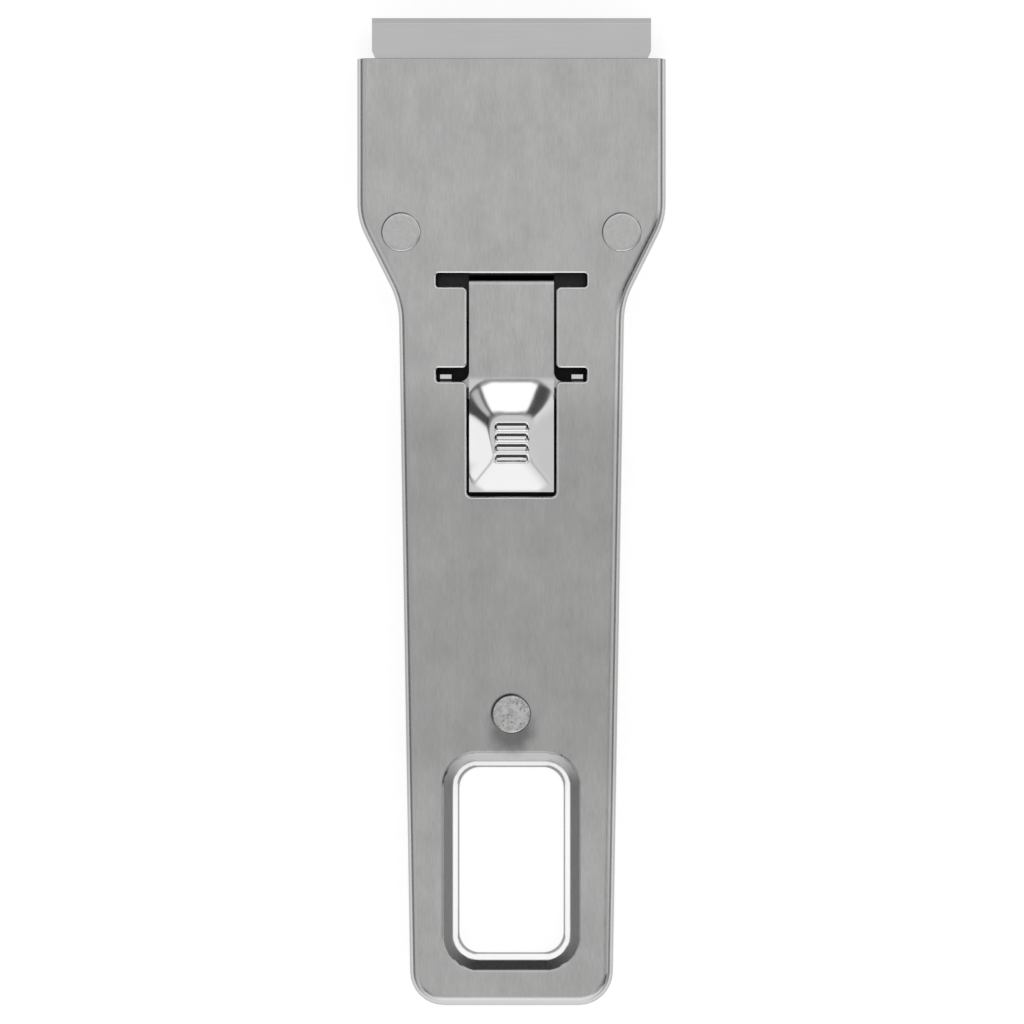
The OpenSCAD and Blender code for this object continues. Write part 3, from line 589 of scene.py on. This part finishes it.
class SCRAPER_OT_rivets(bpy.types.Operator):
    """Models the three rivets that join the trays, with rounded front heads"""

    bl_idname = "scraper.rivets"
    bl_label = "Rivets"

    def turned(self, context, name, rings, place):
        """A turned piece from rings of radius and height, the first and last of them closed."""
        bpy.ops.object.select_all(action="DESELECT")
        bpy.ops.mesh.primitive_circle_add(vertices=RIVET_SIDES, radius=rings[0][0], fill_type="NOTHING")
        piece = context.object
        piece.name = name
        piece.data.transform(Matrix.Translation((0, 0, rings[0][1])))
        for last, ring in zip(rings, rings[1:]):
            bpy.ops.object.mode_set(mode="EDIT")
            bpy.ops.mesh.select_mode(type="EDGE")
            bpy.ops.mesh.extrude_edges_move(TRANSFORM_OT_translate={"value": (0, 0, ring[1] - last[1])})
            bpy.ops.object.mode_set(mode="OBJECT")
            for vertex in piece.data.vertices:
                if vertex.select:
                    vertex.co.x *= ring[0] / last[0]
                    vertex.co.y *= ring[0] / last[0]
        bpy.ops.object.mode_set(mode="EDIT")
        bpy.ops.mesh.select_all(action="SELECT")
        bpy.ops.mesh.fill_holes(sides=0)
        bpy.ops.mesh.select_all(action="SELECT")
        bpy.ops.mesh.normals_make_consistent(inside=False)
        bpy.ops.object.mode_set(mode="OBJECT")
        piece.data.transform(Matrix.Translation((place.x, place.y, 0)))
        select_only(piece)
        bpy.ops.object.shade_smooth_by_angle(angle=math.radians(28))
        return piece

    def execute(self, context):
        sizes = context.scene.scraper_tray
        steel = context.scene.scraper_steel
        flush = flush_steel(steel)
        peened = peened_steel(steel)
        for node, name, material, crown in (
                ("head_rivet_left", "left_head_rivet", flush, 0.45 * MM),
                ("head_rivet_right", "right_head_rivet", flush, 0.45 * MM),
                ("tail_rivet", "peened_tail_rivet", peened, 0.34 * MM)):
            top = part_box(node)[1].z
            proud = top - TRAY_HIGH.z
            rings = [(sizes.shank_radius, sizes.sunk), (sizes.head_radius - 0.05 * MM, sizes.sunk),
                     (sizes.head_radius, sizes.sunk + 0.05 * MM), (sizes.shank_radius, sizes.sheet),
                     (sizes.shank_radius, TRAY_HIGH.z - sizes.sheet), (sizes.head_radius, TRAY_HIGH.z)]
            for step in range(1, BEND_STEPS + 1):
                angle = math.radians(90 * step / BEND_STEPS)
                rings.append((sizes.head_radius - crown * (1 - math.cos(angle)) ** 1.3,
                              TRAY_HIGH.z + proud * math.sin(angle) ** 1.3))
            rings.append((sizes.shank_radius, top))
            piece = self.turned(context, name, rings, middle_of(node))
            hand_over(piece, node, "handle", "rivet_steel", material)
        return {"FINISHED"}


class SCRAPER_OT_carried(bpy.types.Operator):
    """Gives the blade, the carriage, the small rivets and the spacers their steel"""

    bl_idname = "scraper.carried"
    bl_label = "Blade and carriage"

    def execute(self, context):
        steel = context.scene.scraper_steel
        facet_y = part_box("blade")[1].y - GROUND_EDGE
        ground = plain_steel("blade_steel", steel.blade, 0.32, 0.05, (90, 1600, 1600), facet_y)
        # Near black as painted shade, for the carriage, spacers and small rivets seen deep in the slots.
        plain = plain_steel("carriage_steel", steel.carriage, 0.45, 0.10, (1500, 1500, 1500))
        small = plain_steel("small_rivet_steel", steel.carriage, 0.40, 0.10, (1800, 1800, 1800))
        finishes = {
            "blade": ground, "blade_carriage": plain,
            "head_spacer_left": plain, "head_spacer_right": plain, "tail_spacer": plain,
            "catch_rivets": small,
        }
        for node, material in finishes.items():
            mesh = frame["nodes"][node].data
            mesh.materials.clear()
            mesh.materials.append(material)
        return {"FINISHED"}


def ease(value):
    """A smooth step from 0 to 1, straight enough in its middle to read as a pressed facet."""
    return 0.5 * min(max(value, 0.0), 1.0) + 0.5 * smooth(value)


def smooth(value):
    """A smooth step from 0 to 1, level at both ends."""
    held = min(max(value, 0.0), 1.0)
    return held * held * (3 - 2 * held)


def soft_min(a, b, width):
    """The smaller of two values, with the crease between them rounded."""
    near = max(width - abs(a - b), 0.0) / width
    return min(a, b) - near * near * width / 4


def dish(sizes, x, back):
    """Depth of the thumb pad at x from its middle and back from its front edge."""
    half = sizes.width / 2
    side = (half - abs(x)) / (half - sizes.floor_width / 2)
    front = (back - sizes.lip) / (sizes.front_slope - sizes.lip)
    rear = (sizes.pad_length - back) / (sizes.pad_length - sizes.front_slope - sizes.floor_length)
    lean = sizes.hip_lean * smooth(front) * smooth((1 + HIP_FADE - front) / HIP_FADE)
    depth = sizes.dish_depth * ease(soft_min(soft_min(side + lean, front, FRONT_CREASE), rear, REAR_CREASE))
    first = sizes.front_slope + sizes.ridge_start
    number = math.floor((back - first) / sizes.ridge_pitch)
    off = back - first - (number + 0.5) * sizes.ridge_pitch - sizes.ridge_lean
    reach = sizes.ridge_reach - math.copysign(sizes.ridge_lean, off)
    if 0 <= number < sizes.ridges and abs(off) < reach:
        end = smooth((sizes.floor_width / 2 + sizes.ridge_end / 4 - abs(x)) / sizes.ridge_end)
        depth -= sizes.ridge_height * smooth(1 - abs(off) / reach) * end
    return depth


class SCRAPER_OT_thumb_catch(bpy.types.Operator):
    """Models the thumb catch: pad with dish and ridges, tongue, step, root, wings and lock tabs"""

    bl_idname = "scraper.thumb_catch"
    bl_label = "Thumb catch"

    def extrude(self, obj, chosen, move):
        """Extrudes the edges whose two ends are chosen, and moves the new edges by a vector."""
        mesh = obj.data
        for face in mesh.polygons:
            face.select = False
        for vertex in mesh.vertices:
            vertex.select = bool(chosen(vertex.co))
        for edge in mesh.edges:
            edge.select = all(mesh.vertices[i].select for i in edge.vertices)
        bpy.ops.object.mode_set(mode="EDIT")
        bpy.ops.mesh.select_mode(type="EDGE")
        bpy.ops.mesh.extrude_edges_move(TRANSFORM_OT_translate={"value": move})
        bpy.ops.object.mode_set(mode="OBJECT")

    def merge(self, distance):
        """Joins the active object's points that lie together and turns its faces one way."""
        bpy.ops.object.mode_set(mode="EDIT")
        bpy.ops.mesh.select_all(action="SELECT")
        bpy.ops.mesh.remove_doubles(threshold=distance)
        bpy.ops.mesh.normals_make_consistent(inside=False)
        bpy.ops.object.mode_set(mode="OBJECT")

    def pad(self, context, sizes, pad_y, top):
        """The thumb pad's upper face, with its dish and ridges."""
        bpy.ops.object.select_all(action="DESELECT")
        bpy.ops.mesh.primitive_grid_add(x_subdivisions=PAD_COLUMNS, y_subdivisions=PAD_ROWS, size=1)
        catch = context.object
        catch.name = "thumb_catch_leaf"
        for vertex in catch.data.vertices:
            x = vertex.co.x * sizes.width
            back = (0.5 - vertex.co.y) * sizes.pad_length
            vertex.co = (x, pad_y - back, top - dish(sizes, x, back))
        return catch

    def wing(self, catch, side, sizes, hinge):
        """Draws out a wing with a rounded root from one side of the pad, and turns up its lock tab."""
        half = sizes.width / 2
        pad_y = hinge.y - sizes.pad_front
        row = sizes.pad_length / PAD_ROWS
        low_tip = hinge.y - sizes.wing_front - sizes.wing_length
        fillet = sizes.wing_front - sizes.pad_front
        at = half
        for step in range(1, BEND_STEPS + 1):
            angle = math.radians(90 * step / BEND_STEPS)
            out = half + fillet * (1 - math.cos(angle))
            self.extrude(catch, lambda co: side * co.x > at - TINY and low_tip - row / 2 < co.y,
                         (side * (out - at), 0, 0))
            for vertex in catch.data.vertices:
                if vertex.select:
                    vertex.co.y = min(vertex.co.y, pad_y - fillet * math.sin(angle))
            at = out
        self.merge(SAME_PLACE)
        inner = half + sizes.wing_reach - sizes.tab_width
        self.extrude(catch, lambda co: side * co.x > at - TINY, (side * (inner - at), 0, 0))
        self.extrude(catch, lambda co: side * co.x > inner - TINY, (side * sizes.tab_width, 0, 0))
        front = max(v.co.y for v in catch.data.vertices if side * v.co.x > inner - TINY)
        lip = hinge.y - sizes.tab_front
        self.extrude(catch, lambda co: side * co.x > inner - TINY and co.y > front - TINY,
                     (0, lip - front, 0))
        self.extrude(catch, lambda co: side * co.x > inner - TINY and co.y > lip - TINY,
                     (0, 0, sizes.tab_height))

    def step_line(self, sizes):
        """Places along and down the step from the tongue's front edge, with the sheet's angle there."""
        rise = sizes.top - sizes.sheet / 2
        radius = sizes.step_radius
        turn = min(math.radians(60), math.acos(max(1 - rise / (2 * radius), 0)))
        slope = (rise - 2 * radius * (1 - math.cos(turn))) / math.sin(turn)
        run = 2 * radius * math.sin(turn) + slope * math.cos(turn)
        line = []
        for i in range(1, BEND_STEPS + 1):
            angle = turn * i / BEND_STEPS
            line.append((radius * math.sin(angle), -radius * (1 - math.cos(angle)), angle))
        for i in range(BEND_STEPS, -1, -1):
            angle = turn * i / BEND_STEPS
            line.append((run - radius * math.sin(angle), -rise + radius * (1 - math.cos(angle)), angle))
        line.append((sizes.tongue_front + sizes.root_front, -rise, 0.0))
        return line

    def tongue(self, catch, sizes, hinge, top):
        """Draws the tongue out of the pad's front edge, and then the step and the root."""
        half = sizes.width / 2
        pad_y = hinge.y - sizes.pad_front
        tongue_y = hinge.y - sizes.tongue_front
        self.extrude(catch, lambda co: co.y > pad_y - TINY and abs(co.x) < half + TINY,
                     (0, sizes.pad_front - sizes.tongue_front, 0))
        spot = (tongue_y, top)
        for along, down, angle in self.step_line(sizes):
            new = (tongue_y + along + math.sin(angle) * sizes.sheet / 2,
                   top + down - (1 - math.cos(angle)) * sizes.sheet / 2)
            self.extrude(catch, lambda co: co.y > spot[0] - TINY and abs(co.x) < half + TINY,
                         (0, new[0] - spot[0], new[1] - spot[1]))
            spot = new
        self.merge(SAME_PLACE)

    def thicken(self, context, catch, sizes, hinge):
        """Gives the sheet its thickness and drills the holes for the small rivets, in millimetres."""
        up = sum(p.normal.z * p.area for p in catch.data.polygons)
        if up < 0:
            catch.data.flip_normals()
        catch.data.transform(Matrix.Scale(1 / MM, 4))
        apply_modifier(catch, "SOLIDIFY", thickness=sizes.sheet / MM, offset=-1.0, use_even_offset=True)
        for side in (-1, 1):
            bpy.ops.object.select_all(action="DESELECT")
            bpy.ops.mesh.primitive_cylinder_add(vertices=40, radius=sizes.pin_hole / MM / 2, depth=4)
            drill = context.object
            place = (side * sizes.pin_span / MM / 2, hinge.y / MM, hinge.z / MM)
            drill.data.transform(Matrix.Translation(place))
            apply_modifier(catch, "BOOLEAN", object=drill, operation="DIFFERENCE", solver="EXACT")
            bpy.data.objects.remove(drill)
        catch.data.transform(Matrix.Scale(MM, 4))

    def execute(self, context):
        sizes = context.scene.scraper_catch
        hinge = Vector(CATCH_HINGE["pos_m"])
        pad_y = hinge.y - sizes.pad_front
        top = hinge.z + sizes.top
        catch = self.pad(context, sizes, pad_y, top)
        for side in (-1, 1):
            self.wing(catch, side, sizes, hinge)
        self.tongue(catch, sizes, hinge, top)
        self.thicken(context, catch, sizes, hinge)
        turn_down = Matrix.Rotation(sizes.rest_tilt, 4, "X")
        catch.data.transform(Matrix.Translation(hinge) @ turn_down @ Matrix.Translation(-hinge))
        select_only(catch)
        bpy.ops.object.shade_smooth_by_angle(angle=math.radians(40))
        material = catch_finish(context.scene.scraper_steel, sizes, pad_y)
        hand_over(catch, "thumb_catch", "catch", "catch_steel", material)
        return {"FINISHED"}


class SCRAPER_OT_stage(bpy.types.Operator):
    """Sets up the floor, the surroundings and the camera"""

    bl_idname = "scraper.stage"
    bl_label = "Stage"

    def floor(self, stage):
        """A pale floor that looks white and keeps the object's shadow."""
        bpy.ops.object.select_all(action="DESELECT")
        bpy.ops.mesh.primitive_grid_add(x_subdivisions=2, y_subdivisions=2, size=6)
        ground = bpy.context.object
        ground.name = "floor"
        ground.data.transform(Matrix.Translation((0, 0, -FLOOR_DROP)))
        made = Finish("floor")
        made.shader.inputs["Metallic"].default_value = 0.0
        made.shader.inputs["Specular IOR Level"].default_value = 0.0
        made.shader.inputs["Emission Color"].default_value = (1, 1, 1, 1)
        path = made.tree.nodes.new("ShaderNodeLightPath")
        seen = made.math("MAXIMUM", path.outputs["Is Camera Ray"], path.outputs["Is Glossy Ray"])
        seen = made.math("MAXIMUM", seen, path.outputs["Is Transmission Ray"])
        made.join(made.math("MULTIPLY", seen, stage.floor_glow), made.shader.inputs["Emission Strength"])
        pale = stage.floor
        ground.data.materials.append(made.finish((pale, pale, pale, 1.0), 1.0))

    def panels(self, tools, stage, across, along):
        """Light from the high panels and light from low down, by the direction round the object."""
        high = 0.0
        low = 0.0
        for direction, light, low_light in (
                (along, stage.blade_panel, stage.blade_low),
                (tools.math("MULTIPLY", along, -1.0), stage.tail_panel, stage.tail_low),
                (across, stage.right_panel, stage.right_low),
                (tools.math("MULTIPLY", across, -1.0), stage.left_panel, stage.left_low)):
            reach = tools.math("POWER", tools.math("MAXIMUM", direction, 0.0), 2.0)
            high = tools.math("ADD", high, tools.math("MULTIPLY", reach, light))
            low = tools.math("ADD", low, tools.math("MULTIPLY", reach, low_light))
        return high, low

    def gaps(self, tools, stage, ring, across, along, z):
        """The ring of panels with the gaps between them, and the lamp in one of the gaps."""
        tail_side = tools.ramp(along, -0.05, 0.05, 1.0, 0.0)
        blade_side = tools.math("SUBTRACT", 1.0, tail_side)
        top = tools.ramp(z, 0.62, 0.70)
        high_tail = tools.math("MULTIPLY", tail_side, top)
        high_blade = tools.math("MULTIPLY", blade_side, top)
        steep_tail = tools.math("MULTIPLY", tail_side, tools.ramp(z, 0.45, 0.55))
        # Ends of each gap as sines of its direction from Y, where it shows, and its light
        for low, high, where, light in (
                (-0.78, -0.31, high_tail, stage.tail_gap), (0.50, 0.90, high_tail, stage.tail_gap),
                (0.62, 0.80, high_tail, stage.lamp), (0.80, 0.988, steep_tail, stage.tail_gap),
                (0.84, 0.90, high_blade, stage.blade_gap), (-0.90, -0.84, high_blade, stage.blade_gap)):
            begun = tools.ramp(across, low - 0.02, low + 0.02)
            ended = tools.ramp(across, high - 0.015, high + 0.015)
            inside = tools.math("MULTIPLY", tools.math("SUBTRACT", begun, ended), where)
            ring = tools.blend(inside, ring, light)
        return ring

    def overhead(self, tools, stage, ring, across, along, z):
        """The overhead light within the ring of panels, with a dark strip between the two."""
        upper = tools.blend(tools.ramp(z, 0.90, 0.96), ring, stage.overhead)
        strip = tools.math("SUBTRACT", tools.ramp(z, 0.88, 0.91), tools.ramp(z, 0.94, 0.965))
        toward = tools.ramp(tools.math("SUBTRACT", across, along), 0.2, 0.9)
        strip = tools.math("MULTIPLY", tools.math("MULTIPLY", strip, toward), stage.strip)
        return tools.math("MULTIPLY", upper, tools.math("SUBTRACT", 1.0, strip))

    def surroundings(self, stage):
        """A soft overhead light, four panels round it with gaps, and dark or light sides lower down."""
        world = bpy.data.worlds.new("studio")
        bpy.context.scene.world = world
        world.use_nodes = True
        tools = Network(world.node_tree, "Generated")
        x, y, z = tools.axes()
        flat = tools.math("MAXIMUM", tools.hypotenuse(x, y), 0.0001)
        across = tools.math("DIVIDE", x, flat)
        along = tools.math("DIVIDE", y, flat)
        ring, sides = self.panels(tools, stage, across, along)
        ring = self.gaps(tools, stage, ring, across, along, z)
        upper = self.overhead(tools, stage, ring, across, along, z)
        edge = tools.math("ADD", tools.math("MULTIPLY", tools.math("MAXIMUM", along, 0.0), 0.2), 0.38)
        high = tools.ramp(z, edge, tools.math("ADD", edge, 0.12))
        lit = tools.blend(high, sides, upper)
        path = tools.tree.nodes.new("ShaderNodeLightPath").outputs["Is Camera Ray"]
        background = tools.tree.nodes["Background"]
        background.inputs["Color"].default_value = (1, 1, 1, 1)
        tools.join(tools.blend(path, lit, 1.0), background.inputs["Strength"])

    def camera(self, stage):
        """A long lens straight above the middle."""
        bpy.ops.object.select_all(action="DESELECT")
        bpy.ops.object.camera_add(location=(0.07 * MM, -0.03 * MM, TRAY_HIGH.z + stage.camera_height))
        camera = bpy.context.object
        camera.data.sensor_width = 36
        camera.data.lens = 36 * stage.camera_height / stage.view_width
        camera.data.clip_start = 0.01
        camera.data.clip_end = 20
        bpy.context.scene.camera = camera

    def execute(self, context):
        stage = context.scene.scraper_stage
        self.floor(stage)
        self.surroundings(stage)
        self.camera(stage)
        context.scene.view_settings.view_transform = "Standard"
        return {"FINISHED"}


class SCRAPER_PT_panel(bpy.types.Panel):
    """Lists the scraper's pieces and settings"""

    bl_idname = "SCRAPER_PT_panel"
    bl_label = "Scraper"
    bl_space_type = "VIEW_3D"
    bl_region_type = "UI"
    bl_category = "Scraper"

    def draw(self, context):
        layout = self.layout
        for operator in OPERATORS:
            layout.operator(operator.bl_idname)
        for name, group in SETTINGS.items():
            box = layout.box()
            for item in group.__annotations__:
                box.prop(getattr(context.scene, name), item)


SETTINGS = {
    "scraper_steel": SteelSettings,
    "scraper_tray": TraySettings,
    "scraper_catch": CatchSettings,
    "scraper_stage": StageSettings,
}
OPERATORS = (
    SCRAPER_OT_trays, SCRAPER_OT_rivets, SCRAPER_OT_carried, SCRAPER_OT_thumb_catch, SCRAPER_OT_stage)
CLASSES = (*SETTINGS.values(), *OPERATORS, SCRAPER_PT_panel)


def register():
    """Registers the classes and the settings on the scene."""
    for item in CLASSES:
        bpy.utils.register_class(item)
    for name, group in SETTINGS.items():
        setattr(bpy.types.Scene, name, bpy.props.PointerProperty(type=group))


def unregister():
    """Takes back what register did."""
    for name in SETTINGS:
        delattr(bpy.types.Scene, name)
    for item in reversed(CLASSES):
        bpy.utils.unregister_class(item)


def main():
    """Builds the scraper piece by piece."""
    register()
    bpy.ops.scraper.trays()
    bpy.ops.scraper.rivets()
    bpy.ops.scraper.carried()
    bpy.ops.scraper.thumb_catch()
    bpy.ops.scraper.stage()


if __name__ == "__main__":
    main()
